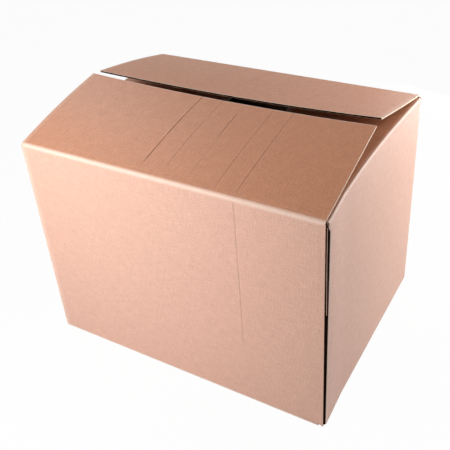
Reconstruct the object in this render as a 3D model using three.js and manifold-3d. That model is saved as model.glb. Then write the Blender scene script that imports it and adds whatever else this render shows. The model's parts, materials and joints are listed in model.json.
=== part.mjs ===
// Slotted corrugated carton, one folded and glued sheet, in millimetres.
// +X runs along the long front wall, +Y from front to back, +Z up.
// The origin is the middle of the base, on the ground.
import * as THREE from "three";
import { mergeGeometries, mergeVertices } from "three/addons/utils/BufferGeometryUtils.js";
import Module from "manifold-3d";

// Outside sizes of the closed carton
const LENGTH = 600;
const WIDTH = 458;
const HEIGHT = 450;

// Corrugated board: caliper, its flat liners, its waved medium, and the distance from wave to wave
const BOARD = 3;
const LINER = 0.25;
const MEDIUM = 0.35;
const FLUTE_PITCH = 6.4;

// Scores, slots and seams
const SCORE_RADIUS = 4;
const CRUSHED_BAND = 9;
const SLOT_MARGIN = 0.5;
const SLOT_DEPTH = 2;
const TOP_SEAM = 10;
const BASE_SEAM = 2;
const INNER_GAP_TOP = 152;
const INNER_GAP_BASE = 152;

// Glued joint at the front right corner: tab, and the strip left open beside the cut front edge
const TAB_LENGTH = 35;
const TAB_ROOT = 3;
const TAB_SHOULDER = 12;
const JOINT_GAP_TOP = 1.8;
const JOINT_GAP_BASE = 4.2;

// Raised long flaps: lift above level, and running clearances at the hinge scores
const FRONT_LIFT_DEG = 12.6;
const BACK_LIFT_DEG = 11.5;
const HINGE_STANDOFF = 0.3;
const SCORE_CLEARANCE = 0.15;
const FLAP_CLEARANCE = 0.4;

const KRAFT = { color: 0xc9a083, roughness: 0.55, metalness: 0 };
const ARC_STEPS = 4;
const CUTTER_OVERRUN = 1;

const HALF_LENGTH = LENGTH / 2;
const HALF_WIDTH = WIDTH / 2;
const SLOT_INSET = SCORE_RADIUS + SLOT_MARGIN;
const INNER_RADIUS = Math.max(SCORE_RADIUS - BOARD, 0.5);
const CROWN_DEPTH = SCORE_RADIUS + BOARD + SLOT_DEPTH;
const INNER_TOP = HEIGHT - BOARD - FLAP_CLEARANCE;
const CORNER_TOP = INNER_TOP - SLOT_DEPTH;
const CORNER_BASE = BOARD + SLOT_DEPTH;

const wasm = await Module();
wasm.setup();

// A closed three.js geometry as a solid that can be joined and cut.
function solid(geometry) {
  const bare = geometry.clone();
  bare.deleteAttribute("normal");
  bare.deleteAttribute("uv");
  const merged = mergeVertices(bare, 1e-4);
  return new wasm.Manifold(
    new wasm.Mesh({
      numProp: 3,
      vertProperties: new Float32Array(merged.attributes.position.array),
      triVerts: new Uint32Array(merged.index.array),
    }),
  );
}

// A solid back as a three.js geometry.
function geometryOf(piece) {
  const mesh = piece.getMesh();
  const geometry = new THREE.BufferGeometry();
  geometry.setAttribute("position", new THREE.BufferAttribute(mesh.vertProperties, 3));
  geometry.setIndex(new THREE.BufferAttribute(mesh.triVerts, 1));
  const faceted = geometry.toNonIndexed();
  faceted.computeVertexNormals();
  return faceted;
}

function extrude(points, depth, holes = []) {
  const shape = new THREE.Shape(points);
  shape.holes = holes.map((hole) => new THREE.Path(hole));
  return new THREE.ExtrudeGeometry(shape, { depth, bevelEnabled: false });
}

// A section drawn across (Y, Z), running along X.
function alongX(points, from, to) {
  const geometry = extrude(points, to - from);
  geometry.applyMatrix4(
    new THREE.Matrix4().makeBasis(
      new THREE.Vector3(0, 1, 0),
      new THREE.Vector3(0, 0, 1),
      new THREE.Vector3(1, 0, 0),
    ),
  );
  return geometry.translate(from, 0, 0);
}

// A section drawn across (X, Z), running along Y.
function alongY(points, from, to) {
  const geometry = extrude(points, to - from);
  geometry.applyMatrix4(
    new THREE.Matrix4().makeBasis(
      new THREE.Vector3(1, 0, 0),
      new THREE.Vector3(0, 0, 1),
      new THREE.Vector3(0, -1, 0),
    ),
  );
  return geometry.translate(0, to, 0);
}

function box(x0, x1, y0, y1, z0, z1) {
  const geometry = new THREE.BoxGeometry(x1 - x0, y1 - y0, z1 - z0);
  return solid(geometry.translate((x0 + x1) / 2, (y0 + y1) / 2, (z0 + z1) / 2));
}

// Points on a round corner, from one angle to the other in degrees.
function arc(cx, cy, radius, fromDeg, toDeg) {
  const points = [];
  for (let i = 0; i <= ARC_STEPS; i += 1) {
    const angle = THREE.MathUtils.degToRad(fromDeg + ((toDeg - fromDeg) * i) / ARC_STEPS);
    points.push(new THREE.Vector2(cx + radius * Math.cos(angle), cy + radius * Math.sin(angle)));
  }
  return points;
}

// Board bent square at a score, in (out, up) from the wall's foot: a wall and its inward flap.
// The wall's outer face is at out = 0 and its flap ends at out = -reach, with its outer face at up = 0.
function foldedSection(reach, wallDepth) {
  return [
    new THREE.Vector2(0, -wallDepth),
    ...arc(-SCORE_RADIUS, -SCORE_RADIUS, SCORE_RADIUS, 0, 90),
    new THREE.Vector2(-reach, 0),
    new THREE.Vector2(-reach, -BOARD),
    ...arc(-BOARD - INNER_RADIUS, -BOARD - INNER_RADIUS, INNER_RADIUS, 90, 0),
    new THREE.Vector2(-BOARD, -wallDepth),
  ];
}

// Board that ends at a crushed hinge score, as (along, deep) measured from the hinge axis.
// Both sides of the hinge have this end, mitred so that they meet when the flap lies level.
function hingedSection(length) {
  const mitre = SCORE_CLEARANCE * Math.SQRT2;
  const outer = arc(
    HINGE_STANDOFF + SCORE_RADIUS,
    HINGE_STANDOFF + SCORE_RADIUS,
    SCORE_RADIUS,
    270,
    225,
  );
  outer[ARC_STEPS].x += mitre;
  const inner = HINGE_STANDOFF + BOARD;
  return [
    new THREE.Vector2(length, HINGE_STANDOFF),
    ...outer,
    new THREE.Vector2(inner + mitre, inner),
    new THREE.Vector2(length, inner),
  ];
}

// One hollow of the waved board, in (across, deep from the middle); side is +1 or -1.
function hollowOutline(side) {
  const clear = BOARD / 2 - LINER;
  const run = FLUTE_PITCH / 2;
  const slant = Math.hypot(2 * clear, run) / (2 * clear);
  const reach = run - MEDIUM * slant;
  return [
    new THREE.Vector2(0, -side * (clear - MEDIUM)),
    new THREE.Vector2(reach, side * clear),
    new THREE.Vector2(-reach, side * clear),
  ];
}

// All hollows across a board of the given span, as cutters that run along +Z from -overrun to depth.
function hollows(span, depth) {
  const count = Math.floor((span - 2 * LINER) / FLUTE_PITCH - 0.5);
  const cutters = [];
  for (let i = 0; i <= count; i += 1) {
    for (const side of [1, -1]) {
      const outline = hollowOutline(side);
      if (side < 0) outline.reverse();
      const shift = (i - count / 2 + side / 4) * FLUTE_PITCH;
      const cutter = extrude(outline, depth + CUTTER_OVERRUN);
      cutters.push(cutter.translate(shift, 0, -CUTTER_OVERRUN));
    }
  }
  return mergeGeometries(cutters);
}

// Cutters turned so that they enter a flap lying in (across, along) from its free edge.
function hollowsInto(span, depth, across, into, origin) {
  const deep = new THREE.Vector3().crossVectors(into, across);
  const frame = new THREE.Matrix4().makeBasis(across, deep, into);
  frame.setPosition(origin);
  return solid(hollows(span, depth).applyMatrix4(frame));
}

const innerReach = (gap) => (LENGTH - gap) / 2;
const outerReach = (gap) => (WIDTH - gap) / 2;
const FLAP_LENGTH = outerReach(TOP_SEAM);

// Four walls as one tube, with the front right corner folded behind the front wall.
function wallTube() {
  const r = SCORE_RADIUS;
  const outline = [
    new THREE.Vector2(-HALF_LENGTH + r, -HALF_WIDTH),
    new THREE.Vector2(HALF_LENGTH, -HALF_WIDTH),
    new THREE.Vector2(HALF_LENGTH, -HALF_WIDTH + BOARD + r),
    ...arc(HALF_LENGTH - r, HALF_WIDTH - r, r, 0, 90),
    ...arc(-HALF_LENGTH + r, HALF_WIDTH - r, r, 90, 180),
    ...arc(-HALF_LENGTH + r, -HALF_WIDTH + r, r, 180, 270).slice(0, -1),
  ];
  const i = INNER_RADIUS;
  const x = HALF_LENGTH - BOARD;
  const y = HALF_WIDTH - BOARD;
  const rootX = x - i - TAB_ROOT;
  const hole = [
    ...arc(x - i, -y + BOARD + i, i, 0, -90),
    new THREE.Vector2(rootX, -y + BOARD),
    new THREE.Vector2(rootX, -y),
    ...arc(-x + i, -y + i, i, 270, 180),
    ...arc(-x + i, y - i, i, 180, 90),
    ...arc(x - i, y - i, i, 90, 0),
  ];
  const height = CORNER_TOP - CORNER_BASE;
  const tube = extrude(outline, height, [hole]);
  return solid(tube.translate(0, 0, CORNER_BASE)).subtract(jointCutter());
}

// What is missing at the joint: the leaning strip beside the cut edge, and the corner outside the fold.
function jointCutter() {
  const top = CORNER_TOP + CUTTER_OVERRUN;
  const base = CORNER_BASE - CUTTER_OVERRUN;
  const tabFace = -HALF_WIDTH + BOARD;
  const outside = HALF_LENGTH + CUTTER_OVERRUN;
  const strip = [
    new THREE.Vector2(HALF_LENGTH - JOINT_GAP_BASE, base),
    new THREE.Vector2(outside, base),
    new THREE.Vector2(outside, top),
    new THREE.Vector2(HALF_LENGTH - JOINT_GAP_TOP, top),
  ];
  const foldY = tabFace + SCORE_RADIUS;
  const corner = [
    ...arc(HALF_LENGTH - SCORE_RADIUS, foldY, SCORE_RADIUS, 0, -90),
    new THREE.Vector2(outside, tabFace),
    new THREE.Vector2(outside, foldY),
  ];
  const beside = solid(alongY(strip, -HALF_WIDTH - CUTTER_OVERRUN, tabFace));
  return beside.add(solid(extrude(corner, top - base).translate(0, 0, base)));
}

// Glue tab on the inside of the front wall, with sloped shoulders.
function glueTab() {
  const x1 = HALF_LENGTH - SCORE_RADIUS;
  const x0 = HALF_LENGTH - TAB_LENGTH;
  const z0 = CORNER_BASE + BOARD + SCORE_RADIUS;
  const z1 = CORNER_TOP - BOARD - SCORE_RADIUS;
  const outline = [
    new THREE.Vector2(x0, z0 + TAB_SHOULDER),
    new THREE.Vector2(x1, z0),
    new THREE.Vector2(x1, z1),
    new THREE.Vector2(x0, z1 - TAB_SHOULDER),
  ];
  return solid(alongY(outline, -HALF_WIDTH + BOARD, -HALF_WIDTH + 2 * BOARD));
}

// Where a short wall's flaps start at the front: on the right they clear the fold behind the front wall.
function shortFront(side) {
  return -HALF_WIDTH + (side > 0 ? BOARD + SCORE_RADIUS : SLOT_INSET);
}

// A short wall's fold and its flap. side is +1 on the right and -1 on the left, end +1 at the top.
function shortFold(side, end, reach) {
  const z = end > 0 ? INNER_TOP : BOARD;
  const section = foldedSection(reach, CROWN_DEPTH).map(
    (p) => new THREE.Vector2(side * (HALF_LENGTH + p.x), z + end * p.y),
  );
  if (side * end < 0) section.reverse();
  return solid(alongY(section, shortFront(side), HALF_WIDTH - SLOT_INSET));
}

// Room for a short wall's fold at the end of the tube.
function shortNotch(side, end) {
  const z = end > 0 ? INNER_TOP : BOARD;
  const deep = z - end * CROWN_DEPTH;
  const past = z + end * (CROWN_DEPTH + CUTTER_OVERRUN);
  const inside = side * (HALF_LENGTH - BOARD);
  const outside = side * (HALF_LENGTH + CUTTER_OVERRUN);
  return box(
    Math.min(inside, outside),
    Math.max(inside, outside),
    shortFront(side),
    HALF_WIDTH - SLOT_INSET,
    Math.min(deep, past),
    Math.max(deep, past),
  );
}

// A long wall's top below its hinge score. side is -1 at the front and +1 at the back.
function longCrown(side) {
  const axisY = HALF_WIDTH + HINGE_STANDOFF;
  const axisZ = HEIGHT + HINGE_STANDOFF;
  const section = hingedSection(CROWN_DEPTH + HINGE_STANDOFF).map(
    (p) => new THREE.Vector2(side * (axisY - p.y), axisZ - p.x),
  );
  if (side > 0) section.reverse();
  return solid(alongX(section, -HALF_LENGTH + SLOT_INSET, HALF_LENGTH - SLOT_INSET));
}

// A long wall's fold at the base and its flap.
function longBase(side) {
  const section = foldedSection(outerReach(BASE_SEAM), CROWN_DEPTH).map(
    (p) => new THREE.Vector2(side * (HALF_WIDTH + p.x), -p.y),
  );
  if (side > 0) section.reverse();
  return solid(alongX(section, -HALF_LENGTH + SLOT_INSET, HALF_LENGTH - SLOT_INSET));
}

// Room for a long wall's crown at the top of the tube, or for its fold at the base.
function longNotch(side, end) {
  const z = end > 0 ? HEIGHT : 0;
  const deep = z - end * CROWN_DEPTH;
  const past = z + end * CUTTER_OVERRUN;
  const inside = side * (HALF_WIDTH - BOARD);
  const outside = side * (HALF_WIDTH + CUTTER_OVERRUN);
  return box(
    -HALF_LENGTH + SLOT_INSET,
    HALF_LENGTH - SLOT_INSET,
    Math.min(inside, outside),
    Math.max(inside, outside),
    Math.min(deep, past),
    Math.max(deep, past),
  );
}

// The hollows in the free edge of a short top flap.
function shortFlapHollows(side) {
  const front = shortFront(side);
  const back = HALF_WIDTH - SLOT_INSET;
  const reach = innerReach(INNER_GAP_TOP);
  return hollowsInto(
    back - front,
    reach - CRUSHED_BAND,
    new THREE.Vector3(0, 1, 0),
    new THREE.Vector3(side, 0, 0),
    new THREE.Vector3(
      side * (HALF_LENGTH - reach),
      (front + back) / 2,
      INNER_TOP - BOARD / 2,
    ),
  );
}

function cartonBody() {
  let body = wallTube();
  for (const side of [1, -1]) {
    for (const end of [1, -1]) {
      body = body.subtract(shortNotch(side, end)).subtract(longNotch(side, end));
    }
  }
  for (const side of [1, -1]) {
    body = body.add(shortFold(side, 1, innerReach(INNER_GAP_TOP)).subtract(shortFlapHollows(side)));
    body = body.add(shortFold(side, -1, innerReach(INNER_GAP_BASE)));
    body = body.add(longCrown(side)).add(longBase(side));
  }
  return body.add(glueTab());
}

// A long top flap, lying level from its hinge axis along +Y, with its outer face up.
function longFlap() {
  const length = FLAP_LENGTH + HINGE_STANDOFF;
  const section = hingedSection(length).map((p) => new THREE.Vector2(p.x, -p.y));
  const half = HALF_LENGTH - SLOT_INSET;
  const plate = solid(alongX(section.reverse(), -half, half));
  const cutters = hollowsInto(
    2 * half,
    FLAP_LENGTH - CRUSHED_BAND,
    new THREE.Vector3(1, 0, 0),
    new THREE.Vector3(0, -1, 0),
    new THREE.Vector3(0, length, -HINGE_STANDOFF - BOARD / 2),
  );
  return plate.subtract(cutters);
}

function mesh(name, piece) {
  const made = new THREE.Mesh(geometryOf(piece), new THREE.MeshStandardMaterial(KRAFT));
  made.name = name;
  return made;
}

// A long flap on its hinge axis. turnDeg faces it to the front or the back.
function hingedFlap(name, liftDeg, turnDeg) {
  const hinge = new THREE.Group();
  hinge.position.set(0, -HALF_WIDTH - HINGE_STANDOFF, HEIGHT + HINGE_STANDOFF);
  hinge.rotation.x = THREE.MathUtils.degToRad(liftDeg);
  hinge.add(mesh(name, longFlap()));
  const turned = new THREE.Group();
  turned.rotation.z = THREE.MathUtils.degToRad(turnDeg);
  turned.add(hinge);
  return turned;
}

const carton = new THREE.Group();
carton.add(mesh("carton_body", cartonBody()));
carton.add(hingedFlap("front_flap", FRONT_LIFT_DEG, 0));
carton.add(hingedFlap("back_flap", BACK_LIFT_DEG, 180));

export default carton;
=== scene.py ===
"""Brown corrugated carton, in metres: every panel is worked out from one flat blank and folded.

A point of the blank has a distance s along the walls (from the cut edge at the glued joint, clockwise
seen from above), a fold distance q past a wall's end (up at the top, down at the base), and a depth d
into the board from its outer face. The function fold_blank turns those into a place in the frame.
"""
import json
import math

import bpy
import numpy as np
from mathutils import Matrix, Vector


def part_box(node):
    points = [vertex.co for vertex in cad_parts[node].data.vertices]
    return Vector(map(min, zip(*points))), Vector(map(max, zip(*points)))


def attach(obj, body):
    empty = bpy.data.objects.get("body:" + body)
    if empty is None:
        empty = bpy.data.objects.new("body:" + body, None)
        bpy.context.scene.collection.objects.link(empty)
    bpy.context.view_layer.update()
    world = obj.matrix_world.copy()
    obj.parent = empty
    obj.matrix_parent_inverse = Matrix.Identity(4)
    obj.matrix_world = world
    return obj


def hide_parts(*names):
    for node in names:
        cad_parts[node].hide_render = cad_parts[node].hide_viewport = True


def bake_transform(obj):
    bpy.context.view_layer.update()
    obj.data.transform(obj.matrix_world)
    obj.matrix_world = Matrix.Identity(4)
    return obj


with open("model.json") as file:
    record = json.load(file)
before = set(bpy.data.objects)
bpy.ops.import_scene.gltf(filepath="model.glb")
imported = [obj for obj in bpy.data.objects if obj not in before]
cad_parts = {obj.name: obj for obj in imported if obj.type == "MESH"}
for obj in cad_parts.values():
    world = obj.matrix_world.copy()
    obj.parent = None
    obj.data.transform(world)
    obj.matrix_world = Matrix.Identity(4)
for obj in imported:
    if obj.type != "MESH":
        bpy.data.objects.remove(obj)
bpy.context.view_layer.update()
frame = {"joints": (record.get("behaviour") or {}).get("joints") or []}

# Board: caliper, liners, waved medium and its pitch
CALIPER = 0.003
LINER = 0.0003
MEDIUM = 0.0003
FLUTE_PITCH = 0.0064
WAVE_STEPS = 10

# Carton sizes, from the frame
BODY_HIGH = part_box("carton_body")[1]
HALF_LENGTH = float(BODY_HIGH[0])
HALF_WIDTH = float(BODY_HIGH[1])
HINGES = {joint["name"]: joint for joint in frame["joints"]}
HINGE_STANDOFF = 0.0003
HEIGHT = HINGES["front_flap_hinge"]["pos_m"][2] - HINGE_STANDOFF
FRONT_LIFT = math.radians(-HINGES["front_flap_hinge"]["range_deg"][0])
BACK_LIFT = math.radians(-HINGES["back_flap_hinge"]["range_deg"][0])

# Scores: outer radius of a fold, the wider one under a long top flap, the straight board before it,
# and the crushed band after it. The front fold sits FRONT_DROP lower than the hinge height gives.
SCORE_RADIUS = 0.004
LONG_FOLD_RADIUS = 0.0080
LEAD = 0.004
CRUSHED_BAND = 0.009
FRONT_DROP = 0.0018

# Grooves of the creasing wheel where a round starts and ends: width, depth, and how far past the end
START_GROOVE = (0.0012, 0.00012)
END_GROOVE = (0.0010, 0.00045)
END_GROOVE_PAST = 0.0008

# Share of the caliper that a score crushes, and over what width
CRUSHED_SHARE = 0.3
CRUSHED_WIDTH = 0.0035

# Slots, seams and the gap between the short flaps
SIDE_BAND = 0.0012
SLOT_INSET = 0.0045
FLAP_CLEARANCE = 0.0004
TOP_SEAM = 0.010
BASE_SEAM = 0.0008
INNER_GAP = 0.152
INNER_TOP = HEIGHT - CALIPER - FLAP_CLEARANCE
CORNER_RISE = 0.0060
PANEL_MARGIN = 0.002

# The front flap's right edge: from the cut edge of the wall, cut inwards towards the free corner
JOINT_INSET = 0.0012
FLAP_TAPER = 0.0045
TAPER_REACH = 0.10

# Glued joint at the front right corner: the gap, the strip of open flutes beside it, the tab, and
# the crushed lip that bulges up in the gap
JOINT_GAP = 0.0003
JOINT_PLIES = 0.010
TAB_LENGTH = 0.031
TAB_SHOULDER = 0.012
TAB_CUT = 0.0005
JOINT_LIP = 0.0038
LIP_START = 0.001
LIP_CREST = 0.0025
LIP_WIDTH = 0.0006
LIP_RISE = 0.9
LIP_END = 0.27
LIP_FADE = 0.10
LIP_TOP = (0.97, 0.99)
LIP_TOP_ROWS = (0.967, 0.974, 0.98, 0.986)

# The right wall's fold springs open beside the joint, but not in the last stretch below the top.
# Past JOINT_SHADE of the way round, its faces in the gap are painted near-black: painted shade.
SPRING_TOP = 0.0058
SPRING_BASE = 0.0030
SPRING_REACH = 0.090
SPRING_STOP = (HEIGHT - 0.020, HEIGHT - 0.005)
JOINT_SHADE = 0.40

# The short top flaps droop past level, the left one more
LEFT_DROOP = math.radians(10.0)
RIGHT_DROOP = math.radians(4.0)

# How far the right wall's top edge leans in between its corners
TOP_LEAN = 0.0090

# How far the middle of each wall lies in
WALL_SWELLS = {"front": 0.0010, "left": 0.0012, "back": 0.0008, "right": 0.0007}

# How the raised flaps sag between their ends, at the middle of the free edge
FRONT_SAG = 0.0080
BACK_SAG = 0.0035

# How the raised flaps curl upwards between score and free edge: at the left end, at the right end
FRONT_CURL = (0.0040, 0.0)
BACK_CURL = (0.0030, 0.0)
BACK_TWIST = 0.0070

QUARTER = math.pi / 2


def outline_runs():
    """Straight runs and quarter turns of the walls' outer face: (length, curvature) for each."""
    r = SCORE_RADIUS
    turn = (r * QUARTER, -1 / r)
    long_wall = 2 * HALF_LENGTH - 2 * r
    short_wall = 2 * HALF_WIDTH - 2 * r
    return [
        (2 * HALF_LENGTH - r - JOINT_GAP, 0.0),
        turn,
        (short_wall, 0.0),
        turn,
        (long_wall, 0.0),
        turn,
        (short_wall - CALIPER, 0.0),
        turn,
        (TAB_LENGTH, 0.0),
    ]


def run_starts():
    """Distance, place and heading at the start of each run, one after the other."""
    starts = []
    s, x, y, heading = 0.0, HALF_LENGTH - JOINT_GAP, -HALF_WIDTH, math.pi
    for length, bend in outline_runs():
        starts.append((s, x, y, heading, bend))
        if bend:
            after = heading + bend * length
            x += (math.sin(after) - math.sin(heading)) / bend
            y -= (math.cos(after) - math.cos(heading)) / bend
            heading = after
        else:
            x += length * math.cos(heading)
            y += length * math.sin(heading)
        s += length
    starts.append((s, x, y, heading, 0.0))
    return np.array(starts)


RUNS = run_starts()
S_TURNS = RUNS[:, 0]
SLOT_PAST_SCORE = SLOT_INSET - SCORE_RADIUS
PANELS = {
    "front": (JOINT_INSET, S_TURNS[1] - SLOT_PAST_SCORE),
    "left": (S_TURNS[2] + SLOT_PAST_SCORE, S_TURNS[3] - SLOT_PAST_SCORE),
    "back": (S_TURNS[4] + SLOT_PAST_SCORE, S_TURNS[5] - SLOT_PAST_SCORE),
    "right": (S_TURNS[6] + SLOT_PAST_SCORE, S_TURNS[7]),
}
TAB = (S_TURNS[8], S_TURNS[9])


def outline(s):
    """Place and outward direction at distance s: a straight run goes on along its heading, and a
    quarter turn is start + (sin(h + k t) - sin h, cos h - cos(h + k t)) / k with curvature k."""
    i = np.clip(np.searchsorted(S_TURNS, s, side="right") - 1, 0, len(RUNS) - 2)
    start, x, y, heading, bend = (RUNS[i, k] for k in range(5))
    t = s - start
    now = heading + bend * t
    k = np.where(bend == 0, 1.0, bend)
    x = x + np.where(bend == 0, t * np.cos(heading), (np.sin(now) - np.sin(heading)) / k)
    y = y + np.where(bend == 0, t * np.sin(heading), (np.cos(heading) - np.cos(now)) / k)
    return x, y, -np.sin(now), np.cos(now)


def on_panel(s, panel, margin=PANEL_MARGIN):
    """Whether distance s lies on a panel, give or take the margin."""
    a, b = PANELS[panel]
    return (s > a - margin) & (s < b + margin)


def top_turn(s):
    """Angle that the board turns through at the top score: short flaps droop, long ones are raised."""
    front, back = on_panel(s, "front"), on_panel(s, "back")
    short = QUARTER + np.where(s < S_TURNS[3], LEFT_DROOP, RIGHT_DROOP)
    return np.where(front, QUARTER - FRONT_LIFT, np.where(back, QUARTER - BACK_LIFT, short))


def long_wall_top(lift):
    """Height where a long wall's straight part ends, so that its round fold touches both the wall's
    plane and the raised flap's plane, which passes under the hinge axis."""
    corner = HEIGHT + HINGE_STANDOFF - HINGE_STANDOFF * (1 - math.sin(lift)) / math.cos(lift)
    return corner - LONG_FOLD_RADIUS * math.tan((QUARTER - lift) / 2) - LEAD


def fold_radius(s, q):
    """Outer radius of a fold: wider where a long flap stands up from its wall."""
    long_panel = on_panel(s, "front") | on_panel(s, "back")
    return np.where((q > 0) & long_panel, LONG_FOLD_RADIUS, SCORE_RADIUS)


def wall_ends(s):
    """Lowest and highest points of the wall's straight part, level along a panel and sloped between."""
    front, left, back, right = (PANELS[n] for n in ("front", "left", "back", "right"))
    long_base = SCORE_RADIUS + LEAD
    short_base = long_base + CALIPER
    short_top = INNER_TOP - FRONT_DROP - SCORE_RADIUS - LEAD
    front_top = long_wall_top(FRONT_LIFT) - FRONT_DROP
    back_top = long_wall_top(BACK_LIFT)
    tab_low = short_base + CALIPER
    keys = [front[0], front[1], left[0], left[1], back[0], back[1], right[0], right[1]]
    keys += [TAB[0] + TAB_CUT, TAB[0] + 2 * TAB_CUT, TAB[1]]
    lows = [long_base] * 2 + [short_base] * 2 + [long_base] * 2 + [short_base] * 3
    lows += [tab_low, tab_low + TAB_SHOULDER]
    tab_high = short_top - CALIPER
    highs = [front_top] * 2 + [short_top] * 2 + [back_top] * 2 + [short_top] * 3
    highs += [tab_high, tab_high - TAB_SHOULDER]
    inside_corner = np.ones_like(s)
    for a, b in PANELS.values():
        inside_corner = inside_corner * ((s < a - 1e-6) | (s > b + 1e-6))
    inside_corner = inside_corner * (s < TAB[0])
    low, high = np.interp(s, keys, lows), np.interp(s, keys, highs)
    return low - inside_corner * LEAD, high + inside_corner * CORNER_RISE


def bell(x, width):
    """Smooth bump of height 1 and the given width."""
    return np.exp(-((x / width) ** 2))


def ramp(x, low, high):
    """Smooth step from 0 at low to 1 at high."""
    t = np.clip((x - low) / (high - low), 0, 1)
    return t * t * (3 - 2 * t)


def panel_share(s, panel):
    """Distance across a panel as a share of the carton's side, from its left end seen from outside."""
    a, b = PANELS[panel]
    return (b - s) / (b - a)


# Creases pressed along the flutes: share across, depth, half width, and the stretch of the flap
# or wall that they cross, counted from the score as a share of it.
FRONT_FLAP_CREASES = [
    (0.432, 0.00060, 0.0010, 0.10, 1.05),
    (0.505, 0.00026, 0.0010, 0.12, 1.05),
    (0.583, 0.00055, 0.0010, 0.55, 0.88),
    (0.588, 0.00016, 0.0012, 0.05, 0.55),
    (0.680, 0.00030, 0.0010, 0.05, 1.05),
    (0.745, 0.00036, 0.0011, 0.05, 1.05),
]
BACK_FLAP_CREASES = [
    (0.262, 0.00022, 0.0011, 0.05, 1.05),
    (0.515, 0.00026, 0.0011, 0.05, 1.05),
    (0.640, 0.00016, 0.0010, 0.20, 1.05),
]
FRONT_WALL_CREASES = [(0.745, 0.00028, 0.0011, 0.30, 1.05)]


def crease_marks(creases, across, along):
    """Sum of sharp valleys with a low ridge on one side, each fading at the ends of its stretch."""
    mark = np.zeros(np.broadcast(across, along).shape)
    for share, depth, width, first, last in creases:
        x = (across - share) * 2 * HALF_LENGTH
        stretch = ramp(along, first - 0.04, first + 0.04) * (1 - ramp(along, last - 0.06, last))
        mark = mark + depth * stretch * (bell(x, width) - 0.5 * bell(x + 2.0 * width, 1.2 * width))
    return mark


def flap_reach(panel):
    """Length of a panel's top flap along its outer face, past the round of the fold."""
    if panel in ("front", "back"):
        lift = FRONT_LIFT if panel == "front" else BACK_LIFT
        tangent = LONG_FOLD_RADIUS * math.tan((QUARTER - lift) / 2)
        return HALF_WIDTH - TOP_SEAM / 2 - tangent
    return HALF_LENGTH - INNER_GAP / 2 - SCORE_RADIUS


def past_fold(q, turn, radius):
    """Fold distance that lies beyond the round of the fold."""
    return np.maximum(np.abs(q) - LEAD - radius * turn, 0)


def warp(s, z, q):
    """How far the board stands out from its flat place: panels belly slightly, long top flaps sag
    between their ends as (share of the reach) squared, and creases and scores are pressed in.
    Also how deep the creases are."""
    s, z, q = np.broadcast_arrays(s, z, q)
    out = np.zeros(s.shape)
    creased = np.zeros(s.shape)
    height_share = np.clip((z - 0.012) / (HEIGHT - 0.024), 0, 1)
    belly = np.sin(np.pi * height_share) ** 2
    for panel, swell in WALL_SWELLS.items():
        a, b = PANELS[panel]
        share = np.clip((s - a) / (b - a), 0, 1)
        out = out - swell * np.sin(np.pi * share) ** 2 * belly * (q == 0)
    on_top = q > 0
    for panel, sag, curl, creases in (
        ("front", FRONT_SAG, FRONT_CURL, FRONT_FLAP_CREASES),
        ("back", BACK_SAG, BACK_CURL[::-1], BACK_FLAP_CREASES),
    ):
        a, b = PANELS[panel]
        on_flap = on_top & on_panel(s, panel, PANEL_MARGIN / 2)
        share = np.clip((s - a) / (b - a), 0, 1)
        reach = past_fold(q, top_turn(s), LONG_FOLD_RADIUS) / flap_reach(panel)
        sagging = sag * reach**2 * (1 - (2 * share - 1) ** 2)
        ends = curl[0] * share**2 + curl[1] * (1 - share) ** 2
        curling = ends * np.sin(np.pi * np.clip(reach, 0, 1))
        marks = crease_marks(creases, panel_share(s, panel), reach)
        out = out + on_flap * (curling - sagging - marks)
        creased = creased + on_flap * marks
        if panel == "back":
            out = out + on_flap * BACK_TWIST * reach**1.5 * share**3
    a, b = PANELS["front"]
    on_front = (s < b) & (q == 0)
    wall_share = np.clip(z / HEIGHT, 0, 1)
    marks = on_front * crease_marks(FRONT_WALL_CREASES, panel_share(s, "front"), wall_share)
    return out - marks, creased + marks


def score_marks(q, turn, radius):
    """Grooves that the creasing wheel leaves on both sides of a fold: one where the round starts,
    and a deeper one where it ends."""
    a = np.abs(q)
    starts = bell(a - LEAD, START_GROOVE[0]) * START_GROOVE[1]
    ends = bell(a - LEAD - radius * turn - END_GROOVE_PAST, END_GROOVE[0]) * END_GROOVE[1]
    return (starts + ends) * (a > 0)


def crush(q, turn, radius):
    """Share of the caliper that is left: the score crushes the board at the middle of its fold."""
    middle = LEAD + radius * turn / 2
    return 1 - CRUSHED_SHARE * bell(np.abs(q) - middle, CRUSHED_WIDTH)


def sprung(s, z):
    """How far the right wall stands to the right: its fold springs open beside the joint below the
    top corner, and its top edge leans in between the corners."""
    near_joint = ramp(s, S_TURNS[7] - SPRING_REACH, S_TURNS[7])
    spring = SPRING_BASE + (SPRING_TOP - SPRING_BASE) * z / HEIGHT
    spring = spring * (1 - ramp(z, *SPRING_STOP))
    share = np.clip((s - S_TURNS[6]) / (S_TURNS[7] - S_TURNS[6]), 0, 1)
    lean = TOP_LEAN * np.sin(np.pi * share) * np.clip(z / HEIGHT, 0, 1) ** 4
    return near_joint * spring - lean


def tapered(s, q):
    """How far the front flap's right edge is cut inwards: evenly from its score to its free corner,
    fading out along the flap."""
    share = past_fold(q, top_turn(s), LONG_FOLD_RADIUS) / flap_reach("front")
    return FLAP_TAPER * share * (q > 0) * np.clip(1 - s / TAPER_REACH, 0, 1)


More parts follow.
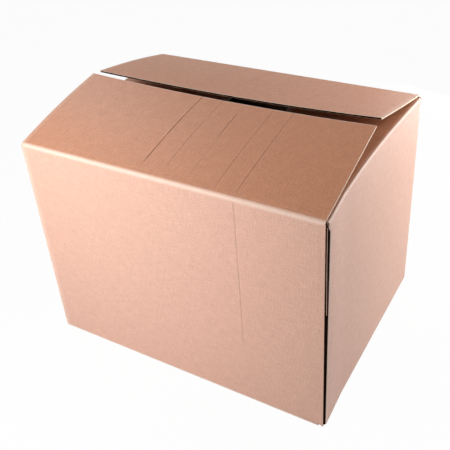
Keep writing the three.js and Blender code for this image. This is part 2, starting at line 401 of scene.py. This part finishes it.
def fold_blank(s, w, q, d):
    """Place of blank point (s, w, q) at depth d. Up the wall it is the outline at height
    low + w (high - low). Past the wall's end it goes straight for the lead, round the score by the
    angle a = distance / radius, and on straight, with its outward direction turned by a."""
    s, w, q, d = np.broadcast_arrays(s, w, q, d)
    x, y, nx, ny = outline(s + tapered(s, q))
    low, high = wall_ends(s)
    turn = np.where(q > 0, top_turn(s), QUARTER)
    side = np.sign(q)
    a = np.abs(q)
    radius = fold_radius(s, q)
    angle = np.clip((a - LEAD) / radius, 0, turn)
    rest = past_fold(q, turn, radius)
    inward = radius * (1 - np.cos(angle)) + rest * np.sin(turn)
    rise = np.minimum(a, LEAD) + radius * np.sin(angle) + rest * np.cos(turn)
    z = low + w * (high - low)
    lift, creased = warp(s, z, q)
    lift = lift - score_marks(q, turn, radius)
    depth = d * crush(q, turn, radius) - lift
    out = -inward - depth * np.cos(angle)
    up = z + side * (rise - depth * np.sin(angle))
    return np.stack([x + nx * out + sprung(s, z), y + ny * out, up], -1), z + q, creased


# Face kinds. The last is painted shade: a near-black colour put inside the flutes and in the glued
# joint's gap.
OUTSIDE, INSIDE, CUT, PAINTED_SHADE = range(4)

# Where the pale band of a fold lies on its round, and how wide it is, as shares of the round. The band
# is partly wear and partly a painted highlight where the round faces the light.
PALE_BAND_MIDDLE = 0.34
PALE_BAND_WIDTH = 0.42
DEEP_CREASE = 0.0006

# Width of the painted highlight along a flap's free end, where the liner's edge catches light, and how
# strong it is
EDGE_HIGHLIGHT_WIDTH = 0.0009
END_HIGHLIGHT = 1.6


def closed_sheet(outer, inner, keep):
    """Faces of a closed board: both grids of kept cells, and a strip along each edge of them.
    Returns the points, the faces as vertex indices in fours, and each face's kind."""
    nu, nv = keep.shape[0] + 1, keep.shape[1] + 1
    index = np.arange(nu * nv).reshape(nu, nv)
    shift = nu * nv
    i, j = np.nonzero(keep)
    top = np.stack([index[i, j], index[i + 1, j], index[i + 1, j + 1], index[i, j + 1]], -1)
    faces = [top, top[:, ::-1] + shift]
    padded = np.pad(keep, 1)
    core = padded[1:-1, 1:-1]
    edges = (
        (core & ~padded[:-2, 1:-1], (0, 1), (0, 0)),
        (core & ~padded[2:, 1:-1], (1, 0), (1, 1)),
        (core & ~padded[1:-1, :-2], (0, 0), (1, 0)),
        (core & ~padded[1:-1, 2:], (1, 1), (0, 1)),
    )
    for open_side, first, second in edges:
        i, j = np.nonzero(open_side)
        a = index[i + first[0], j + first[1]]
        b = index[i + second[0], j + second[1]]
        faces.append(np.stack([a, b, b + shift, a + shift], -1))
    kinds = np.repeat([OUTSIDE, INSIDE, CUT], [len(top), len(top), sum(map(len, faces[2:]))])
    points = np.concatenate([outer.reshape(-1, 3), inner.reshape(-1, 3)])
    return points, np.concatenate(faces), kinds


def facing_out(points, faces):
    """The faces turned round if they point inwards: the volume that they enclose is positive."""
    a, b, c, d = (points[faces[:, k]] for k in range(4))
    volume = np.einsum("ij,ij->", a, np.cross(b, c)) + np.einsum("ij,ij->", a, np.cross(c, d))
    return faces if volume > 0 else faces[:, ::-1]


def board_piece(name, shells, materials):
    """A Blender mesh from closed shells, each (points, faces, kinds, blank coordinates). A face's
    kind is its place among the materials: outside, inside, cut edge, or painted shade, the near-black
    colour painted inside the flutes and in the glued joint's gap."""
    points, faces, slots, blanks = [], [], [], []
    first = 0
    for shell_points, shell_faces, kinds, blank in shells:
        used, packed = np.unique(shell_faces, return_inverse=True)
        packed = packed.reshape(shell_faces.shape)
        points.append(shell_points[used])
        blanks.append(blank[used])
        faces.append(facing_out(shell_points[used], packed) + first)
        slots.append(kinds)
        first += len(used)
    points, faces = np.concatenate(points), np.concatenate(faces)
    mesh = bpy.data.meshes.new(name)
    mesh.from_pydata(points, [], faces)
    mesh.polygons.foreach_set("material_index", np.concatenate(slots).astype(np.int32))
    mesh.polygons.foreach_set("use_smooth", np.ones(len(faces), bool))
    blanks = np.concatenate(blanks).astype(np.float32)
    blank = mesh.attributes.new("blank", "FLOAT_VECTOR", "POINT")
    blank.data.foreach_set("vector", np.ascontiguousarray(blanks[:, :3]).ravel())
    crease = mesh.attributes.new("crease", "FLOAT", "POINT")
    crease.data.foreach_set("value", np.ascontiguousarray(blanks[:, 3]))
    for material in materials:
        mesh.materials.append(material)
    mesh.update()
    mesh.set_sharp_from_angle(angle=math.radians(50))
    piece = bpy.data.objects.new(name, mesh)
    bpy.context.scene.collection.objects.link(piece)
    return piece


def shell(s, w, q, depths, keep=None, kinds=(OUTSIDE, INSIDE, CUT), end_highlight=0.0):
    """One closed ply between two depths over a grid of blank points. s runs down the rows, w and q
    across the columns, and s and a depth may change over the whole grid. kinds are those of its
    outer, inner and cut faces."""
    s_grid = s + 0 * w[None, :] if s.ndim == 2 else s[:, None] + 0 * w[None, :]
    outer, v, creased = fold_blank(s_grid, w[None, :], q[None, :], depths[0])
    inner, _, _ = fold_blank(s_grid, w[None, :], q[None, :], depths[1])
    if keep is None:
        keep = np.ones((s_grid.shape[0] - 1, s_grid.shape[1] - 1), bool)
    points, faces, sides = closed_sheet(outer, inner, keep)
    sides = np.choose(sides, kinds)
    turn = np.where(q > 0, top_turn(s_grid), QUARTER)
    radius = fold_radius(s_grid, q[None, :] + 0 * s_grid)
    # Pale band: on each fold's round and each corner it is partly wear and partly painted highlight;
    # along a flap's free end it is a painted highlight.
    middle = LEAD + radius * turn * PALE_BAND_MIDDLE
    fold = bell(np.abs(q[None, :]) - middle, PALE_BAND_WIDTH * radius * turn) * (q[None, :] != 0)
    for start, end in zip(S_TURNS[1:8:2], S_TURNS[2:9:2]):
        fold = np.maximum(fold, bell(s_grid - (start + end) / 2, 0.8 * (end - start)))
    fold = np.maximum(fold, end_highlight * bell(q[None, :] - q[-1], EDGE_HIGHLIGHT_WIDTH) * (q[None, :] > 0))
    blank = np.stack([s_grid, v, fold, creased / DEEP_CREASE], -1).reshape(-1, 4)
    return points, faces, sides, np.concatenate([blank, blank])


# Spacing of the grid lines: along the walls, down the base and short flaps, along and down a flap
WALL_STEP = 0.012
BASE_STEP = 0.020
ALONG_STEP = 0.010
DOWN_STEP = 0.006

# Closest that two grid lines may lie, the lines on both sides of a crease, and those past a round
NEAR = 3e-4
CREASE_SPREAD = (0.0006, 0.0012, 0.0020, 0.0032, 0.0050)
PAST_ROUND = (0.0004, 0.0009, 0.0015, 0.0022, 0.0035, 0.006)


def lines(low, high, step, marks=(), spread=()):
    """Even lines from low to high, with finer ones at each mark plus or minus the spreads."""
    even = np.linspace(low, high, max(2, round((high - low) / step) + 1))
    fine = [mark + side * gap for mark in marks for gap in (0, *spread) for side in (-1, 1)]
    fine = np.unique([x for x in fine if low + NEAR < x < high - NEAR])
    if len(fine):
        clear = np.abs(even[:, None] - fine[None, :]).min(1) > NEAR
        clear[[0, -1]] = True
        even = even[clear]
    return np.unique(np.concatenate([even, fine]))


def crease_lines(panel, creases):
    """Distances along the blank of a panel's creases."""
    a, b = PANELS[panel]
    return [b - crease[0] * (b - a) for crease in creases]


def fold_rows(turn, radius, end):
    """Fold distances from a wall's end to the given one, close together round the score."""
    arc = radius * turn
    near = np.concatenate([[0.0, LEAD * 0.5], LEAD + np.linspace(0, arc, 9)])
    after = LEAD + arc + np.array(PAST_ROUND)
    rows = np.concatenate([near, after])
    return rows[rows < end - 1e-4]


def band_end(turn, radius):
    """Fold distance where the crushed band ends and the open flutes start."""
    return LEAD + radius * turn + CRUSHED_BAND


def sheet_columns():
    """Distances along the blank where the body's grid has a line."""
    marks = []
    for start, end in zip(S_TURNS[1:8:2], S_TURNS[2:9:2]):
        marks += list(np.linspace(start, end, 7))
    for a, b in PANELS.values():
        marks += [a, b]
    marks += crease_lines("front", FRONT_WALL_CREASES)
    for crease in crease_lines("front", FRONT_WALL_CREASES):
        marks += [crease + side * gap for gap in CREASE_SPREAD for side in (-1, 1)]
    return lines(JOINT_PLIES, TAB[1], WALL_STEP, marks + [TAB[0] + 2 * TAB_CUT])


def carton_sheet(materials):
    """The four walls, the tab, the four base flaps and the folds of the short top flaps."""
    s = sheet_columns()
    base_end = LEAD + SCORE_RADIUS * QUARTER
    base_reach = {
        "front": HALF_WIDTH - BASE_SEAM / 2 - SCORE_RADIUS,
        "left": HALF_LENGTH - INNER_GAP / 2 - SCORE_RADIUS,
    }
    base_reach["back"] = base_reach["front"]
    base_reach["right"] = base_reach["left"]
    furthest = base_end + max(base_reach.values())
    base_rows = np.concatenate(
        [fold_rows(QUARTER, SCORE_RADIUS, furthest), lines(base_end + WALL_STEP, furthest, BASE_STEP)]
    )
    base_rows = np.unique(np.append(base_rows, [base_end + reach for reach in base_reach.values()]))
    top_end = band_end(QUARTER + LEFT_DROOP, SCORE_RADIUS)
    top_rows = np.append(fold_rows(QUARTER + LEFT_DROOP, SCORE_RADIUS, top_end), top_end)
    wall_rows = np.unique(np.concatenate([np.linspace(0, 1, 36), [0.01, 0.99]]))
    q = np.concatenate([-base_rows[:0:-1], 0 * wall_rows, top_rows[1:]])
    w = np.concatenate([0 * base_rows[1:], wall_rows, 0 * top_rows[1:] + 1])
    middle_s = (s[1:] + s[:-1])[:, None] / 2
    middle_q = (q[1:] + q[:-1])[None, :] / 2
    keep = np.broadcast_to(np.abs(middle_q) < 1e-9, (len(s) - 1, len(q) - 1)).copy()
    for panel in PANELS:
        here = on_panel(middle_s, panel, 0.0)
        keep |= here & (middle_q < 0) & (-middle_q < base_end + base_reach[panel])
        if panel in ("left", "right"):
            keep |= here & (middle_q > 0)
    points, faces, kinds, blank = shell(s, w, q, (0.0, CALIPER), keep)
    # Faces round the joint's fold past JOINT_SHADE, except the inside faces, get the near-black painted
    # shade of the gap.
    in_joint = blank[faces, 0].mean(1) > S_TURNS[7] + JOINT_SHADE * (S_TURNS[8] - S_TURNS[7])
    kinds = np.where(in_joint & (kinds != INSIDE), PAINTED_SHADE, kinds)
    piece = board_piece("carton_sheet", [(points, faces, kinds, blank)], materials)
    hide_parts("carton_body")
    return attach(piece, "carton")


def wave(s):
    """Depth of the waved medium's middle: a sine of the flute pitch between the two liners."""
    swing = CALIPER / 2 - LINER - MEDIUM / 2
    return CALIPER / 2 + swing * np.sin(2 * math.pi * s / FLUTE_PITCH)


def plies(name, a, b, w, q, marks, sides, materials):
    """Open board: outer liner, waved medium and inner liner over the same stretch of the blank, with
    a narrow closed band along each side where the board was cut along its flutes."""
    first, last = a + sides[0] * SIDE_BAND, b - sides[1] * SIDE_BAND
    s = lines(first, last, ALONG_STEP, marks, CREASE_SPREAD)
    steps = max(3, round((last - first) / FLUTE_PITCH * WAVE_STEPS))
    s_wave = np.linspace(first + 1e-4, last - 1e-4, steps)
    middle = wave(s_wave)[:, None]
    coarse = np.unique(np.linspace(0, len(q) - 1, min(len(q), 12)).round().astype(int))
    medium = (middle - MEDIUM / 2, middle + MEDIUM / 2)
    # The medium and the liners' faces towards it get the near-black painted shade inside the flutes.
    shells = [
        shell(s, w, q, (0.0, LINER), kinds=(OUTSIDE, PAINTED_SHADE, CUT), end_highlight=END_HIGHLIGHT),
        shell(s_wave, w[coarse], q[coarse], medium, kinds=(PAINTED_SHADE,) * 3),
        shell(s, w, q, (CALIPER - LINER, CALIPER), kinds=(PAINTED_SHADE, INSIDE, INSIDE)),
    ]
    for there, edge in zip(sides, (np.array([a, first]), np.array([last, b]))):
        if there:
            shells.append(shell(edge, w, q, (0.0, CALIPER)))
    return board_piece(name, shells, materials)


def short_flap(panel, materials):
    """A short top flap beyond its crushed score, drooping."""
    a, b = PANELS[panel]
    droop = LEFT_DROOP if panel == "left" else RIGHT_DROOP
    start = band_end(QUARTER + LEFT_DROOP, SCORE_RADIUS)
    end = LEAD + SCORE_RADIUS * (QUARTER + droop) + flap_reach(panel)
    q = lines(start, end, BASE_STEP)
    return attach(plies(f"{panel}_flap_plies", a, b, 0 * q + 1, q, (), (1, 1), materials), "carton")


def joint_plies(materials):
    """The strip of the front wall beside the glued joint, where its flutes are cut open."""
    w = np.linspace(0, 1, 30)
    piece = plies("joint_edge_plies", 0.0, JOINT_PLIES, w, 0 * w, (), (0, 0), materials)
    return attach(piece, "carton")


def joint_lip(materials):
    """The tab's crushed liner, bulging up in the upper half of the gap between the front wall's cut
    edge and the sprung fold: a bell across the gap, sinking back at LIP_END and at the top."""
    w = np.append(np.linspace(LIP_END / HEIGHT, 0.96, 30), LIP_TOP_ROWS)
    across = np.linspace(0, 1, 13)[:, None]
    s = LIP_START - across * (LIP_START + JOINT_LIP)
    rising = ramp(w * HEIGHT, LIP_END, LIP_END + LIP_FADE) * (1 - ramp(w, *LIP_TOP))
    crest = bell(s + LIP_CREST, LIP_WIDTH) * rising[None, :]
    depth = CALIPER * (1 - LIP_RISE * crest)
    points, faces, kinds, blank = shell(
        s, w, 0 * w, (depth, depth + LINER + MEDIUM), kinds=(OUTSIDE, PAINTED_SHADE, PAINTED_SHADE)
    )
    # The lip's faces off its crest, like its inner and cut faces, get the near-black painted shade.
    off_crest = np.abs(blank[faces, 0].mean(1) + LIP_CREST) > LIP_WIDTH
    kinds = np.where(off_crest, PAINTED_SHADE, kinds)
    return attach(board_piece("joint_lip", [(points, faces, kinds, blank)], materials), "carton")


def long_flap(panel, body, creases, materials):
    """A raised flap beyond its crushed score. It stands for the flap's CAD node."""
    a, b = PANELS[panel]
    turn = QUARTER - (FRONT_LIFT if panel == "front" else BACK_LIFT)
    start = band_end(turn, LONG_FOLD_RADIUS)
    end = LEAD + LONG_FOLD_RADIUS * turn + flap_reach(panel)
    q = lines(start, end, DOWN_STEP, [end - EDGE_HIGHLIGHT_WIDTH, end - 2 * EDGE_HIGHLIGHT_WIDTH])
    marks = crease_lines(panel, creases)
    piece = plies(f"{panel}_flap_plies", a, b, 0 * q + 1, q, marks, (1, 1), materials)
    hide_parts(f"{panel}_flap")
    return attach(piece, body)


def score_strip(panel, creases, materials):
    """The round fold between a long wall and its flap, in the raised flap's pose."""
    a, b = PANELS[panel]
    turn = QUARTER - (FRONT_LIFT if panel == "front" else BACK_LIFT)
    end = band_end(turn, LONG_FOLD_RADIUS)
    q = np.append(fold_rows(turn, LONG_FOLD_RADIUS, end), end)
    s = lines(a, b, ALONG_STEP, crease_lines(panel, creases), CREASE_SPREAD)
    piece = board_piece(f"{panel}_score", [shell(s, 0 * q + 1, q, (0.0, CALIPER))], materials)
    middle = np.array([(a + b) / 2] * 2)
    inner, _, _ = fold_blank(middle, np.ones(2), np.array([1e-6, end]), np.full(2, CALIPER))
    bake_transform(piece)
    return piece


# Kraft colours, linear: light and dark fibres. The walls' colour is the flaps' kraft whitened with
# painted sheen.
SHEEN_WALL_LIGHT = (0.840, 0.500, 0.380, 1)
SHEEN_WALL_DARK = (0.602, 0.349, 0.261, 1)
FLAP_LIGHT = (0.700, 0.303, 0.164, 1)
FLAP_DARK = (0.468, 0.194, 0.099, 1)
INSIDE_LIGHT = (0.480, 0.252, 0.156, 1)
INSIDE_DARK = (0.360, 0.180, 0.108, 1)
# Near-black painted shade for the inside of the flutes and the glued joint's gap
PAINTED_SHADE_LIGHT = (0.034, 0.015, 0.009, 1)
PAINTED_SHADE_DARK = (0.012, 0.005, 0.003, 1)
CUT_LIGHT = (0.95, 0.82, 0.66, 1)
CUT_DARK = (0.80, 0.55, 0.38, 1)
# Pale colour of wear plus painted highlight on folds, and of painted highlight along free edges
WEAR_AND_HIGHLIGHT = (0.95, 0.74, 0.62, 1)
# Painted shade that darkens the creases' valleys
CREASE_SHADOW = (0.22, 0.10, 0.06, 1)

# Share of the pale colour of wear and painted highlight and of the painted crease shade, the height
# over which the walls' colour with painted sheen becomes the flap's, the relief of the fibres, the
# height of the washboard ridges, and the spread of roughness
FOLD_WEAR_AND_HIGHLIGHT = 0.60
FLAP_COLOUR_START = HEIGHT - 0.006
FLAP_COLOUR_END = HEIGHT + 0.001
CREASE_SHADE = 0.7
FIBRE_RELIEF = 0.25
RIDGE = 0.00005
ROUGHNESS_SPREAD = 0.06


def new_group(name, inputs, outputs):
    """An empty shader node group with named sockets: each is (name, socket type, default)."""
    group = bpy.data.node_groups.new(name, "ShaderNodeTree")
    for label, kind, default in inputs:
        socket = group.interface.new_socket(name=label, in_out="INPUT", socket_type=kind)
        if default is not None:
            socket.default_value = default
    for label, kind in outputs:
        group.interface.new_socket(name=label, in_out="OUTPUT", socket_type=kind)
    return group, group.nodes.new("NodeGroupInput"), group.nodes.new("NodeGroupOutput")


def node(tree, kind, inputs=(), **settings):
    """A node with its settings, and its inputs either linked from a socket or set to a value."""
    made = tree.nodes.new(kind)
    for key, value in settings.items():
        setattr(made, key, value)
    for key, value in dict(inputs).items():
        if isinstance(value, bpy.types.NodeSocket):
            tree.links.new(value, made.inputs[key])
        else:
            made.inputs[key].default_value = value
    return made


def math_node(tree, operation, a, b=0.0):
    """Output of a Math node on two sockets or values."""
    return node(tree, "ShaderNodeMath", {0: a, 1: b}, operation=operation).outputs[0]


def scaled(tree, vector, factors):
    """A vector times a factor for each of its parts."""
    return node(tree, "ShaderNodeVectorMath", {0: vector, 1: factors}, operation="MULTIPLY").outputs[0]


# Noise layers of the paper: stretch along and down the blank, scale, detail, roughness. Streaks run
# along the walls and across them, like a weave.
ALONG_STREAKS = ((40, 700, 1), 1.0, 3.0, 0.6)
CROSS_STREAKS = ((900, 45, 1), 1.0, 2.0, 0.6)
MOTTLE = ((1, 1.4, 1), 60.0, 5.0, 0.7)
SPECKS = ((1, 1.6, 1), 420.0, 2.0, 0.8)
MOTTLE_SHARE = 0.7
SPECK_SHARE = 3.0


def noise_layer(tree, blank, stretch, scale, detail, roughness):
    """Noise on the blank's own coordinates, stretched along them."""
    place = scaled(tree, blank, stretch)
    settings = {"Vector": place, "Scale": scale, "Detail": detail, "Roughness": roughness}
    return node(tree, "ShaderNodeTexNoise", settings).outputs[0]


def fibre_group():
    """Paper: streaks both ways along the blank, a soft cloudy mottle and a fine speck, each noise
    taken around its middle value, times its share, and added up."""
    group, source, sink = new_group(
        "paper_fibre",
        [("Blank", "NodeSocketVector", None), ("Streak", "NodeSocketFloat", 1.0)],
        [("Tone", "NodeSocketFloat"), ("Height", "NodeSocketFloat")],
    )
    blank = source.outputs["Blank"]
    streak = noise_layer(group, blank, *ALONG_STREAKS)
    cross = noise_layer(group, blank, *CROSS_STREAKS)
    mottle = math_node(group, "SUBTRACT", noise_layer(group, blank, *MOTTLE), 0.5)
    speck = math_node(group, "SUBTRACT", noise_layer(group, blank, *SPECKS), 0.5)
    woven = math_node(group, "SUBTRACT", math_node(group, "ADD", streak, cross), 1.0)
    streaks = math_node(group, "MULTIPLY", woven, source.outputs["Streak"])
    clouds = math_node(group, "MULTIPLY", mottle, MOTTLE_SHARE)
    specks = math_node(group, "MULTIPLY", speck, SPECK_SHARE)
    total = math_node(group, "ADD", math_node(group, "ADD", streaks, clouds), specks)
    group.links.new(math_node(group, "ADD", total, 0.5), sink.inputs["Tone"])
    group.links.new(math_node(group, "ADD", streaks, specks), sink.inputs["Height"])
    return group


def washboard_group():
    """Ridges of the flutes that show through a liner: a cosine of the flute pitch along the blank."""
    group, source, sink = new_group(
        "washboard", [("Blank", "NodeSocketVector", None)], [("Height", "NodeSocketFloat")]
    )
    along = node(group, "ShaderNodeSeparateXYZ", {0: source.outputs["Blank"]}).outputs[0]
    turn = math_node(group, "MULTIPLY", along, 2 * math.pi / FLUTE_PITCH)
    group.links.new(math_node(group, "COSINE", turn), sink.inputs["Height"])
    return group


def blend_colours(tree, share, first, second):
    """Colour that goes from the first to the second as the share goes from 0 to 1."""
    return node(
        tree, "ShaderNodeMix", {0: share, 6: first, 7: second}, data_type="RGBA", clamp_factor=True
    ).outputs[2]


def kraft(name, walls, flaps, roughness, specular, streak, ridge, wear_and_highlight):
    """Kraft liner: light and dark fibres mixed by the fibre tone, browner on the flaps than on the
    walls, whose paler colour is painted sheen, pale along folds with wear and painted highlight and
    along free edges with painted highlight, darkened with painted shade in creases, with fibre and
    washboard relief."""
    material = bpy.data.materials.new(name)
    material.use_nodes = True
    tree = material.node_tree
    shader = tree.nodes["Principled BSDF"]
    blank = node(tree, "ShaderNodeAttribute", attribute_name="blank").outputs["Vector"]
    fibre = node(tree, "ShaderNodeGroup", node_tree=FIBRE)
    tree.links.new(blank, fibre.inputs["Blank"])
    fibre.inputs["Streak"].default_value = streak
    tone = fibre.outputs["Tone"]
    place = node(tree, "ShaderNodeSeparateXYZ", {0: blank}).outputs
    # The walls' colour, whitened with painted sheen, gives way to the flaps' browner kraft at the top
    # score.
    on_flap = node(
        tree, "ShaderNodeMapRange", {0: place[1], 1: FLAP_COLOUR_START, 2: FLAP_COLOUR_END}
    ).outputs[0]
    colour = blend_colours(
        tree, on_flap, blend_colours(tree, tone, *walls), blend_colours(tree, tone, *flaps)
    )
    colour = blend_colours(tree, math_node(tree, "MULTIPLY", place[2], wear_and_highlight), colour, WEAR_AND_HIGHLIGHT)
    crease = node(tree, "ShaderNodeAttribute", attribute_name="crease").outputs["Fac"]
    colour = blend_colours(tree, math_node(tree, "MULTIPLY", crease, CREASE_SHADE), colour, CREASE_SHADOW)
    tree.links.new(colour, shader.inputs["Base Color"])
    rough = node(
        tree, "ShaderNodeMapRange",
        {0: tone, 3: roughness + ROUGHNESS_SPREAD, 4: roughness - ROUGHNESS_SPREAD},
    ).outputs[0]
    tree.links.new(rough, shader.inputs["Roughness"])
    board = node(tree, "ShaderNodeGroup", node_tree=WASHBOARD)
    tree.links.new(blank, board.inputs["Blank"])
    fine = node(
        tree, "ShaderNodeBump",
        {"Height": fibre.outputs["Height"], "Strength": FIBRE_RELIEF, "Distance": LINER},
    ).outputs[0]
    wavy = node(
        tree, "ShaderNodeBump",
        {"Height": board.outputs["Height"], "Strength": 1.0, "Distance": ridge, "Normal": fine},
    ).outputs[0]
    tree.links.new(wavy, shader.inputs["Normal"])
    shader.inputs["Specular IOR Level"].default_value = specular
    return material


FIBRE = fibre_group()
WASHBOARD = washboard_group()


def board_materials():
    """Materials in the order of the face kinds: roughness, specular level, streaks, ridge, wear."""
    walls, flaps = (SHEEN_WALL_DARK, SHEEN_WALL_LIGHT), (FLAP_DARK, FLAP_LIGHT)
    inside, cut, flutes = (INSIDE_DARK, INSIDE_LIGHT), (CUT_DARK, CUT_LIGHT), (PAINTED_SHADE_DARK, PAINTED_SHADE_LIGHT)
    return [
        kraft("kraft_outer_liner", walls, flaps, 0.48, 0.5, 1.1, RIDGE, FOLD_WEAR_AND_HIGHLIGHT),
        kraft("kraft_inner_liner", inside, inside, 0.62, 0.4, 0.6, RIDGE, 0.0),
        kraft("kraft_cut_edge", cut, cut, 0.75, 0.3, 0.3, 0.0, 0.0),
        # Near-black painted shade, inside the flutes and in the joint's gap
        kraft("kraft_painted_shade", flutes, flutes, 0.9, 0.0, 0.3, 0.0, 0.0),
    ]


BOARD = board_materials()
carton_sheet(BOARD)
short_flap("left", BOARD)
short_flap("right", BOARD)
joint_plies(BOARD)
joint_lip(BOARD)
long_flap("front", "front_lid", FRONT_FLAP_CREASES, BOARD)
long_flap("back", "back_lid", BACK_FLAP_CREASES, BOARD)
score_strip("front", FRONT_FLAP_CREASES, BOARD)
score_strip("back", BACK_FLAP_CREASES, BOARD)


# Stage: white where the camera looks, pale where it lights the carton. FLOOR_SHADE is the share of
# the lit floor, with the carton's shadow, that the camera sees.
FLOOR_SIZE = 14.0
FLOOR_SHADE = 0.03
FLOOR_GREY = (0.68, 0.68, 0.68, 1)
WHITE = (1, 1, 1, 1)
SURROUND = 0.02


def seen_rays(tree):
    """1 on rays that a camera, a gloss or a clear surface sends out."""
    paths = node(tree, "ShaderNodeLightPath").outputs
    some = math_node(tree, "MAXIMUM", paths["Is Camera Ray"], paths["Is Glossy Ray"])
    return math_node(tree, "MAXIMUM", some, paths["Is Transmission Ray"])


def pale_floor():
    """A wide flat floor: matt for the light, and mostly plain white for rays that see it."""
    mesh = bpy.data.meshes.new("pale_floor")
    half = FLOOR_SIZE / 2
    corners = [(-half, -half, 0), (half, -half, 0), (half, half, 0), (-half, half, 0)]
    mesh.from_pydata(corners, [], [(0, 1, 2, 3)])
    material = bpy.data.materials.new("pale_floor")
    material.use_nodes = True
    tree = material.node_tree
    tree.nodes.clear()
    matt = node(tree, "ShaderNodeBsdfDiffuse", {"Color": FLOOR_GREY}).outputs[0]
    glow = node(tree, "ShaderNodeEmission", {"Color": WHITE, "Strength": 1.0}).outputs[0]
    share = math_node(tree, "MULTIPLY", seen_rays(tree), 1 - FLOOR_SHADE)
    mixed = node(tree, "ShaderNodeMixShader", {0: share, 1: matt, 2: glow}).outputs[0]
    out = node(tree, "ShaderNodeOutputMaterial")
    tree.links.new(mixed, out.inputs["Surface"])
    mesh.materials.append(material)
    floor = bpy.data.objects.new("pale_floor", mesh)
    bpy.context.scene.collection.objects.link(floor)


def surroundings():
    """A world that is white where it is seen and dim where it lights."""
    world = bpy.data.worlds.new("studio")
    world.use_nodes = True
    tree = world.node_tree
    background = tree.nodes["Background"]
    background.inputs["Color"].default_value = WHITE
    strength = node(tree, "ShaderNodeMapRange", {0: seen_rays(tree), 3: SURROUND, 4: 1.0}).outputs[0]
    tree.links.new(strength, background.inputs["Strength"])
    bpy.context.scene.world = world


# Softboxes all round the carton: direction in degrees from +X, distance, height, power in watts
SOFTBOX_SIZE = 0.7
SOFTBOXES = {
    "left": (155, 1.2, 1.4, 5.8),
    "right": (20, 0.85, 0.8, 3.1),
    "right_mid": (40, 0.85, 0.45, 4.1),
    "back_right": (75, 1.2, 0.2, 5.0),
    "front_low": (256, 0.85, 0.45, 3.4),
    "front": (244, 0.85, 0.8, 5.4),
}
SOFTBOX_TARGET = Vector((0, 0, 0.25))


def softbox(name, direction, distance, height, power):
    """A square lamp at a direction, distance and height, turned towards the carton."""
    light = bpy.data.lights.new(name, "AREA")
    light.shape = "SQUARE"
    light.size = SOFTBOX_SIZE
    light.energy = power
    lamp = bpy.data.objects.new(name, light)
    turn = math.radians(direction)
    place = Vector((distance * math.cos(turn), distance * math.sin(turn), height))
    facing = (SOFTBOX_TARGET - place).to_track_quat("-Z", "Y").to_matrix().to_4x4()
    lamp.matrix_world = Matrix.Translation(place) @ facing
    lamp.visible_camera = False
    bpy.context.scene.collection.objects.link(lamp)


# Camera, from a fit to the carton's corners in the photograph
CAMERA_PLACE = (0.612882, -0.972600, 1.019940)
CAMERA_RIGHT = (0.86439, 0.49858, -0.06511)
CAMERA_UP = (-0.22394, 0.49769, 0.83795)
CAMERA_BACK = (0.45019, -0.70974, 0.54185)
FOCAL_PIXELS = 687.21
CENTRE_PIXEL = (229.20, 195.12)
FRAME_PIXELS = 450
SENSOR_MM = 36.0


def camera():
    """The fitted camera: its focal length and shift come from pixels of the square frame."""
    lens = bpy.data.cameras.new("photo_camera")
    lens.sensor_width = SENSOR_MM
    lens.sensor_fit = "HORIZONTAL"
    lens.lens = FOCAL_PIXELS / FRAME_PIXELS * SENSOR_MM
    lens.shift_x = (FRAME_PIXELS / 2 - CENTRE_PIXEL[0]) / FRAME_PIXELS
    lens.shift_y = (CENTRE_PIXEL[1] - FRAME_PIXELS / 2) / FRAME_PIXELS
    lens.clip_start = 0.01
    eye = bpy.data.objects.new("photo_camera", lens)
    turned = Matrix((CAMERA_RIGHT, CAMERA_UP, CAMERA_BACK)).transposed().to_4x4()
    eye.matrix_world = Matrix.Translation(CAMERA_PLACE) @ turned
    bpy.context.scene.collection.objects.link(eye)
    bpy.context.scene.camera = eye


pale_floor()
surroundings()
for name, settings in SOFTBOXES.items():
    softbox(name, *settings)
camera()
bpy.context.scene.view_settings.view_transform = "Standard"
